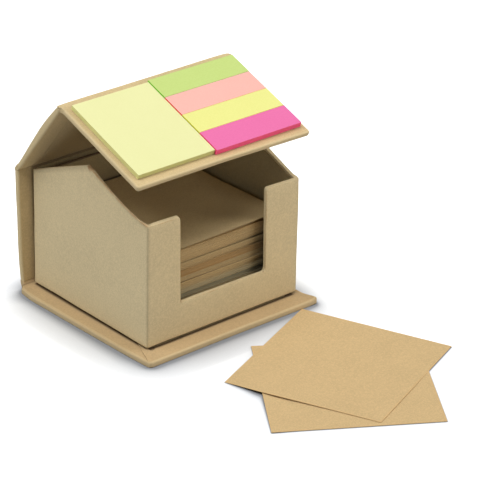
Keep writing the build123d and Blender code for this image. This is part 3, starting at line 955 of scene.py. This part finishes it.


# rubbed edges, painted shade with stains, and torn depth at each point of the cover
def trayMarks(points):
    x, y, z = points.T
    rubbed, dark = trayEdges()
    near = edgeNearness(points, rubbed, tray["rubFade"])
    near = np.maximum(near, 1.15 * edgeNearness(points, [tray["paleSlope"]], 1.2))
    over = z - tray["bottom"]
    onBack = (y > innerBack - 0.1) & (np.abs(x) < tray["backHalf"])
    onFront = y < tray["front"] + 0.1
    tear = y - tray["middle"]
    atPeak = (z - gableTop(y) > -1.2) & (tear < 0.1) & (tear > -3.4)
    torn = (x < -tray["half"] + 3.5) & atPeak
    tornDepth = np.where(torn, np.interp(tear, tray["tearAt"], tray["tear"]), 0)
    # painted shade at the foot, along the back slopes, at the back wall's top and in some dark lines; torn
    # paper darker, front wall a little darker towards its foot
    shadeAndStainParts = [
        tray["footShade"] * bell(np.maximum(over, 0), 0, 0.45),
        tray["slopeShade"] * edgeNearness(points, dark, 0.7),
        tray["backTopShade"] * onBack * slide(z, tray["backTopShadeFrom"], 0.6),
        tray["frontDark"] * onFront * np.clip(1 - over / 26, 0, 1),
        0.3 * tornDepth,
    ]
    shadeAndStainParts += [amount * edgeNearness(points, [ends], fade) for ends, amount, fade in tray["shadeAndRubLines"]]
    return np.where(torn, 1.0, near), np.maximum.reduce(shadeAndStainParts), tornDepth


def settle(points):
    x, y, z = points.T
    half, middle, front, bottom = (tray[k] for k in ("half", "middle", "front", "bottom"))
    high = np.clip((z - bottom) / (tray["frontTop"] - bottom), 0, 1.3)
    side = np.clip((x / half + 1) / 2, 0, 1)
    toRight = slide(x, 0, half)
    toLeft = slide(-x, lean["leftFrom"], half - lean["leftFrom"])
    forward = np.clip((middle - y) / (middle - front), 0, 1)
    behind = slide(y - front, 2.5, 3)
    moved = points.copy()
    moved[:, 0] += (lean["rightLow"] + (lean["rightHigh"] - lean["rightLow"]) * high) * toRight ** 1.6
    moved[:, 0] -= lean["leftLow"] * toLeft * np.clip(1 - high, 0, 1)
    moved[:, 2] += high * forward * (lean["leftRise"] * (1 - side) - lean["rightFall"] * side)
    moved[:, 2] -= lean["gableFall"] * high * forward * toRight ** 8 * behind
    atBack = slide(y - innerBack, -0.6, 0.5) * np.clip((lean["backHalf"] - np.abs(x)) / 0.8, 0, 1)
    moved[:, 2] -= lean["backFall"] * atBack * slide(z, lean["backFrom"], 10)
    sag = np.interp(forward, lean["sagAt"], lean["sag"]) * slide(-x, lean["sagFrom"], 0.6)
    sag = sag * (1 + lean["sagInner"] * slide(x, -lean["sagEdge"], 1.8))
    moved[:, 2] -= sag * np.clip(1 - (gableTop(y) - z) / lean["sagDepth"], 0, 1)
    return moved


trayPoints, trayNormals, trayFaces = buildTray()
trayNear, trayShadeAndStain, tornDepth = trayMarks(trayPoints)
trayPoints += trayNormals * wobble(trayPoints, 22.0, tray["wobble"], 31)[:, None]
rough = wobble(trayPoints, 9.0, tray["edgeWobble"], 37) * trayNear * (trayPoints[:, 2] > tray["sill"] - 2)
trayPoints[:, 2] += rough - tornDepth
trayValues = {"edge": trayNear, "shadeAndStain": trayShadeAndStain}
trayPiece = makePiece("tray_cover", settle(trayPoints), trayFaces, "trayKraft", trayValues)
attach(trayPiece, "base_and_tray")
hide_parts("tray_wrap", "tray_left_wall", "tray_right_wall", "tray_front_wall", "tray_back_wall")


def joinBlocks(blocks):
    points, faces, offset = [], [], 0
    for blockPoints, blockFaces in blocks:
        points.append(blockPoints)
        faces += [tuple(i + offset for i in face) for face in blockFaces]
        offset += len(blockPoints)
    return np.concatenate(points), faces


def trayLiningBlocks():
    thick, drop, middle = tray["lining"], tray["liningDrop"], tray["middle"]
    floor = tray["floor"] - thick
    ys = spread(innerFront, middle, 6) + spread(middle, innerBack, 6)[1:]
    blocks = []
    for side in (-1, 1):
        points, faces = lattice([0, thick], ys, [0, 0.25, 0.5, 0.75, 1])
        points[:, 0] = side * (innerHalf - points[:, 0])
        points[:, 2] = floor + points[:, 2] * (gableTop(points[:, 1]) - drop - floor)
        blocks.append((points, faces if side < 0 else reversedFaces(faces)))
    reach, cut = innerHalf - thick, tray["cutHalf"] + drop
    backTop, frontTop, sill = gableTop(innerBack) - drop, tray["frontTop"] - drop, tray["sill"] - drop
    gapLevels = [tray["gapLine"] + s for s in (-2.8, -1.4, -0.7, 0, 0.7, 1.4)]
    backLevels = spread(floor, 48, 12) + gapLevels + spread(56.5, backTop, 9)
    across = spread(-reach, reach, 8)
    atFront = [innerFront, innerFront + thick]
    blocks.append(lattice(across, [innerBack - thick, innerBack], backLevels))
    blocks.append(lattice(across, atFront, spread(floor, sill, 8)))
    for low, high in ((-reach, -cut), (cut, reach)):
        blocks.append(lattice(spread(low, high, 6), atFront, spread(sill, frontTop, 10)))
    return blocks


liningPoints, liningFaces = joinBlocks(trayLiningBlocks())
pileGapShade = tray["gapShade"] * bell(liningPoints[:, 2], tray["gapLine"], tray["gapWide"])
pileGapShade *= liningPoints[:, 1] > innerBack - 0.4
liningValues = {"shadeAndStain": pileGapShade}
lining = makePiece("tray_lining_paper", settle(liningPoints), liningFaces, "liningKraftShaded", liningValues)
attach(lining, "base_and_tray")
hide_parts("tray_lining")
print("tray made:", len(trayPoints), "points")


# piled sheets: each leaf lies a little aside, forward and turned, by its own values and by chance
def leafPile(width, length, leaves, seed, jitter, skew):
    draw = random.Random(seed)
    heights = np.concatenate([[0], np.cumsum([leaf["thick"] for leaf in leaves])])
    ns, owner = [], []
    for k, leaf in enumerate(leaves):
        gap = min(0.03, leaf["thick"] * 0.15)
        ns += [heights[k] + (gap if k else 0), heights[k + 1] - (gap if k < len(leaves) - 1 else 0)]
        owner += [k, k]
    us = [x - width / 2 for x in [0, 1.5] + spread(4, width - 4, 5) + [width - 1.5, width]]
    vs = [0, 1.5] + spread(4, length - 4, 5) + [length - 1.5, length]
    raw, faces = lattice(us, vs, ns)
    level = np.searchsorted(np.array(ns), raw[:, 2] - 1e-7).clip(0, len(ns) - 1)
    which = np.array(owner)[level]
    chance = (("u", jitter), ("v", jitter), ("turn", skew))
    shifts = [[leaf.get(key, 0) + draw.uniform(-most, most) for key, most in chance] for leaf in leaves]
    aside, forward, turn = np.array(shifts)[which].T
    turn = np.radians(turn)
    du, dv = raw[:, 0], raw[:, 1] - length / 2
    points = raw.copy()
    points[:, 0] = du * np.cos(turn) - dv * np.sin(turn) + aside
    points[:, 1] = du * np.sin(turn) + dv * np.cos(turn) + length / 2 + forward
    tones = np.array([leaf.get("tone", 0.5) for leaf in leaves])
    sides = [float(len({level[i] for i in face}) > 1) for face in faces]
    return points, faces, {"leaf": raw[:, 2] * 9.0, "tone": tones[which]}, {"side": sides}


memo = {
    "side": 90.0, "bottom": 5.25, "height": 47.0, "middle": trayMiddle, "leaf": 0.32,
    "jitter": 0.14, "skew": 0.12, "bunchAside": 0.5, "bunchTurn": 0.35, "toneSpread": 0.14,
    # bunches from the bottom: height share, forward step, tone (low is grey, high is orange)
    "bunches": (
        (0.30, 0.0, 0.45), (0.08, 0.3, 0.3), (0.06, -0.4, 0.12), (0.05, 0.2, 0.2), (0.05, -0.2, 0.4),
        (0.04, 0.35, 0.55), (0.04, -0.3, 0.45), (0.03, 0.1, 0.4), (0.08, 0.45, 0.9), (0.03, -0.3, 0.6),
        (0.06, 0.2, 0.5), (0.03, -0.45, 0.35), (0.15, 0.5, 0.6),
    ),
    "shade": 0.6, "shadeFrom": 6, "shadeRun": 28, "shadeTop": 51,  # its right end lies in the wall's shade
}
pileTop = memo["bottom"] + memo["height"]


def memoLeaves():
    draw = random.Random(5)
    leaves = []
    for share, step, tone in memo["bunches"]:
        count = max(2, round(memo["height"] * share / memo["leaf"]))
        aside = draw.uniform(-memo["bunchAside"], memo["bunchAside"])
        turn = draw.uniform(-memo["bunchTurn"], memo["bunchTurn"])
        for _ in range(count):
            leafTone = min(max(tone + draw.uniform(-memo["toneSpread"], memo["toneSpread"]), 0), 1)
            thick = memo["height"] * share / count
            leaves.append({"thick": thick, "u": aside, "v": -step, "turn": turn, "tone": leafTone})
    total = sum(leaf["thick"] for leaf in leaves)
    for leaf in leaves:
        leaf["thick"] *= memo["height"] / total
    return leaves


pilePoints, pileFaces, pileValues, pileSides = leafPile(
    memo["side"], memo["side"], memoLeaves(), 11, memo["jitter"], memo["skew"],
)
pilePoints[:, 1] += memo["middle"] - memo["side"] / 2
pilePoints[:, 2] += memo["bottom"]
pileShade = slide(pilePoints[:, 0], memo["shadeFrom"], memo["shadeRun"]) ** 1.5
pileValues["shadeAndStain"] = memo["shade"] * (pileShade * np.clip((memo["shadeTop"] - pilePoints[:, 2]) / 6, 0, 1))
pile = makePiece("memo_pile", pilePoints, pileFaces, "memoEdges", pileValues, pileSides)
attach(pile, "memo_stack")
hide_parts("memo_stack")


# lifts give the height over a flat sheet, u and v run from -1 to 1
# a top sheet curls up at its right front corner and along its back edge
def topCurl(low, corner, start, back):
    def lift(u, v):
        toCorner = slide(u * 0.75 + v * -0.65, start, 1.4 - start) ** 1.7
        return low + corner * toCorner + back * slide(v, 0.2, 0.8) ** 2

    return lift


# the upper loose sheet stands off the lower one along the two edges that cross it
def crossing(u, v):
    along = np.interp(u, (-1, -0.75, -0.52, -0.3, 0, 0.4, 1), (-0.2, 0.5, 1.5, 1.1, 0.5, 0.18, 0.14))
    front = bell(v, -1, 0.35) * along
    right = 0.2 * bell(u, 1, 0.25) * slide(-v, -0.25, 0.4)
    return np.where(front < 0, front, np.maximum(front, right))


# the lower one's left edge is lifted too
def underneath(u, v):
    along = np.interp(v, (-1, -0.5, -0.1, 0.1, 0.3, 0.5, 0.7), (0.15, 0.6, 1, 0.6, 0.2, 0.05, 0))
    return 0.14 * np.maximum(np.abs(u), np.abs(v)) ** 4 + slide(-u, 0.6, 0.4) ** 2 * along


# corners: how far each is drawn forward, from the back left one clockwise
sheetForm = {"step": 2.5, "liftDrift": 2.04, "drift": (0.65, 0.76)}
sheets = {
    "top_sheet_lower": {
        "body": "memo_stack", "node": "lower_top_sheet", "paper": "memoTopShaded", "thick": 0.12,
        "at": (0.6, memo["middle"] - 0.4), "turn": -0.5, "base": pileTop,
        "lift": topCurl(0.1, 1.3, -0.2, 2.3),
    },
    "top_sheet_upper": {
        "body": "memo_stack", "node": "upper_top_sheet", "paper": "memoTopShaded", "thick": 0.12,
        "at": (0.9, memo["middle"] - 1.5), "turn": -1.3, "base": pileTop + 0.15,
        "lift": topCurl(0.42, 2.8, -0.3, 2.5),
    },
    "table_sheet_lower": {
        "body": "loose_sheet_lower", "node": "loose_sheet_lower", "paper": "memoPaper", "thick": 0.1,
        "at": (9.5, -137.70), "turn": -34.0, "base": 0.0,
        "lift": underneath, "corners": (-0.3, 0, -1.6, 0.75),
    },
    "table_sheet_upper": {
        "body": "loose_sheet_upper", "node": "loose_sheet_upper", "paper": "memoPaper", "thick": 0.1,
        "at": (20.9, -119.90), "turn": -68.3, "base": 0.24,
        "lift": crossing, "corners": (-1.1, -1.35, 0.3, 2.2),
    },
}


def curledSheet(name, sheet):
    half, a = memo["side"] / 2, math.radians(sheet["turn"])
    lines = spread(-half, half, sheetForm["step"])
    raw, faces = lattice(lines, lines, [0, sheet["thick"]])
    x, y, n = raw.T
    u, v = x / half, y / half
    rise = sheet["lift"](u, v)
    points = np.stack([
        sheet["at"][0] + x * math.cos(a) - y * math.sin(a),
        sheet["at"][1] + x * math.sin(a) + y * math.cos(a),
        sheet["base"] + n + rise,
    ], 1)
    if "corners" in sheet:  # a little out of square, and drawn forward where it lifts
        shares = ((1 - u) * (1 + v), (1 + u) * (1 + v), (1 + u) * (1 - v), (1 - u) * (1 - v))
        skew = sum(c * share for c, share in zip(sheet["corners"], shares)) / 4
        points[:, :2] -= np.outer(skew + sheetForm["liftDrift"] * rise, sheetForm["drift"])
    rim = np.maximum(np.abs(x), np.abs(y)) > half - tiny
    return makePiece(name, points, faces, sheet["paper"], {"edge": rim.astype(float)})


for name, sheet in sheets.items():
    piece = curledSheet(name, sheet)
    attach(piece, sheet["body"])
    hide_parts(sheet["node"])
print("sheets made")


# note pads on the front roof, in the roof's own plane
roofPlane = slopePlane(ridgeFront, frontAngle)
notes = {
    "low": 0.3, "skew": 0.04, "sway": 0.05, "chance": 0.02,
    "pad": {
        "left": -54.7, "start": 1.7, "width": 51.0, "length": 60.0,
        "thick": 2.7, "leaf": 0.13, "jitter": 0.05,
    },
    "marker": {
        "left": -3.3, "start": 0.8, "width": 59.1, "length": 15.4,
        "thick": 3.2, "leaf": 0.16, "jitter": 0.07,
    },
    "markerGap": 0.15,
    "colours": ("green", "salmon", "yellow", "magenta"),
}


def notePad(name, node, material, pad, start, seed):
    count = round(pad["thick"] / pad["leaf"])
    draw = random.Random(seed)
    leaves = []
    for k in range(count):
        aside = notes["sway"] * math.sin(k * 0.7 + seed) + draw.uniform(-notes["chance"], notes["chance"])
        leaves.append({"thick": pad["thick"] / count, "u": aside})
    width = pad["width"]
    points, faces, *values = leafPile(width, pad["length"], leaves, seed, pad["jitter"], notes["skew"])
    points[:, 0] += pad["left"] + width / 2
    points[:, 1] += start
    points[:, 2] = -(points[:, 2] + notes["low"])
    piece = makePiece(name, toFrame(roofPlane, points), reversedFaces(faces), material, *values)
    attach(piece, "front_roof")
    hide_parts(node)


notePad("note_pad", "sticky_pad", "noteYellow", notes["pad"], notes["pad"]["start"], 21)
for row, colour in enumerate(notes["colours"]):
    marker = notes["marker"]
    start = marker["start"] + row * (marker["length"] + notes["markerGap"])
    paper = f"marker{colour.capitalize()}"
    notePad(f"marker_{colour}", f"marker_pad_{colour}", paper, marker, start, 40 + row)
print("notes made")


# the solids that keep their shape get their papers
nodeFinish = {
    "greyboard": ("tray_floor_board",),
    "liningKraftShaded": ("base_liner", "back_liner", "front_roof_liner", "tray_floor_lining"),
    "roofLining": ("back_roof_liner",),
    "backingPaper": ("sticky_pad_backing", "marker_backing"),
}
for material, nodes in nodeFinish.items():
    for node in nodes:
        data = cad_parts[node].data
        data.materials.clear()
        data.materials.append(finish[material])
print("solids finished")


# floor, light and background, lengths in m; a lamp is its place, size, power and colour
warm = (1.0, 0.98, 0.95)
studio = {
    "floorSide": 1.1, "floorDrop": 0.00004,
    "floorPaper": (0.90, 0.90, 0.90),
    "floorBounce": (0.36, 0.36, 0.36),
    "sky": (0.86, 0.92, 1.0),
    "skyLevel": 0.04,
    "lamps": {
        "leftHighLamp": ((-0.634, -0.03, 1.41), 0.9, 12.5, (0.98, 0.99, 1.0)),
        "frontHighLamp": ((-0.448, -0.478, 1.41), 0.9, 4.0, warm),
        "leftLowLamp": ((-1.41, -0.03, 0.563), 0.9, 4.0, (0.92, 0.97, 1.0)),
        "frontLowLamp": ((0.997, -1.027, 0.563), 0.9, 10.7, (1.0, 0.97, 0.92)),
        "rightHighLamp": ((0.55, -0.30, 1.41), 0.9, 3.6, warm),
        "backHighLamp": ((0.448, 0.418, 1.41), 0.9, 2.0, warm),
        "floorLamp": ((0.08, 0.22, 1.41), 2.6, 60.0, (0.97, 0.985, 1.0)),
    },
    "onFloor": ("floorLamp",),  # lights the floor alone, the others leave it out
    "aim": (0.0, -0.03, 0.05),
    # painted contact shadow: the floor's colour turns dark in a soft rim where something stands or lies on
    # it
    "contactShadow": {
        "reach": 0.019, "from": (0.26, 0.42, 0.87), "strength": 1.75, "curve": 0.75, "most": 0.68,
        "colour": (0.0, 0.01, 0.034), "samples": 64,
    },
}


# one shader for what is seen directly, the other for what only lights the scene
def mixSeen(tree, outputKind, seen, unseen):
    path = addNode(tree, "ShaderNodeLightPath").outputs
    direct = mathNode(tree, "MAXIMUM", path["Is Camera Ray"], path["Is Glossy Ray"])
    direct = mathNode(tree, "MAXIMUM", direct, path["Is Transmission Ray"])
    mix = addNode(tree, "ShaderNodeMixShader", {0: direct, 1: unseen.outputs[0], 2: seen.outputs[0]})
    addNode(tree, outputKind, {"Surface": mix.outputs[0]})


def makeFloor(s):
    side, contactShadow = s["floorSide"] / 2, s["contactShadow"]
    mesh = bpy.data.meshes.new("floor")
    corners = [(-side, -side, 0), (side, -side, 0), (side, side, 0), (-side, side, 0)]
    mesh.from_pydata(corners, [], [(0, 1, 2, 3)])
    floor = addObject("floor", mesh)
    floor.location.z = -s["floorDrop"]
    material = bpy.data.materials.new("floorPaper")
    material.use_nodes = True
    tree = material.node_tree
    tree.nodes.clear()
    # painted contact shadow, from occlusion, mixed into the floor's colour
    aim = addNode(tree, "ShaderNodeCombineXYZ", dict(enumerate(contactShadow["from"])))
    inputs = {"Distance": contactShadow["reach"], "Normal": aim.outputs[0]}
    near = addNode(tree, "ShaderNodeAmbientOcclusion", inputs, samples=contactShadow["samples"])
    hidden = mathNode(tree, "POWER", opposite(tree, near.outputs["AO"]), contactShadow["curve"])
    rim = mathNode(tree, "MINIMUM", times(tree, hidden, contactShadow["strength"]), contactShadow["most"])
    paper = mixColour(tree, rim, s["floorPaper"], contactShadow["colour"])
    seen = addNode(tree, "ShaderNodeBsdfDiffuse", {"Color": paper})
    bounce = addNode(tree, "ShaderNodeBsdfDiffuse", {"Color": s["floorBounce"]})
    mixSeen(tree, "ShaderNodeOutputMaterial", seen, bounce)
    mesh.materials.append(material)
    return floor


def makeSky(s):
    world = bpy.data.worlds.new("studioSky")
    scene.world = world
    world.use_nodes = True
    tree = world.node_tree
    tree.nodes.clear()
    plain = addNode(tree, "ShaderNodeBackground", {"Color": (1, 1, 1)})
    soft = addNode(tree, "ShaderNodeBackground", {"Color": s["sky"], "Strength": s["skyLevel"]})
    mixSeen(tree, "ShaderNodeOutputWorld", plain, soft)


def makeLamp(name, at, size, power, colour, floor, onFloor):
    data = bpy.data.lights.new(name, "AREA")
    data.shape, data.size = "DISK", size
    data.energy, data.color = power, colour
    light = addObject(name, data)
    light.location = at
    light.rotation_mode = "QUATERNION"
    light.rotation_quaternion = (Vector(studio["aim"]) - Vector(at)).to_track_quat("-Z", "Y")
    reach = bpy.data.collections.new(f"{name}Reach")
    reach.objects.link(floor)
    reach.collection_objects[0].light_linking.link_state = "INCLUDE" if onFloor else "EXCLUDE"
    light.light_linking.receiver_collection = reach


floor = makeFloor(studio)
makeSky(studio)
for name, lamp in studio["lamps"].items():
    makeLamp(name, *lamp, floor, name in studio["onFloor"])
scene.view_settings.view_transform = "Standard"
print("studio made")
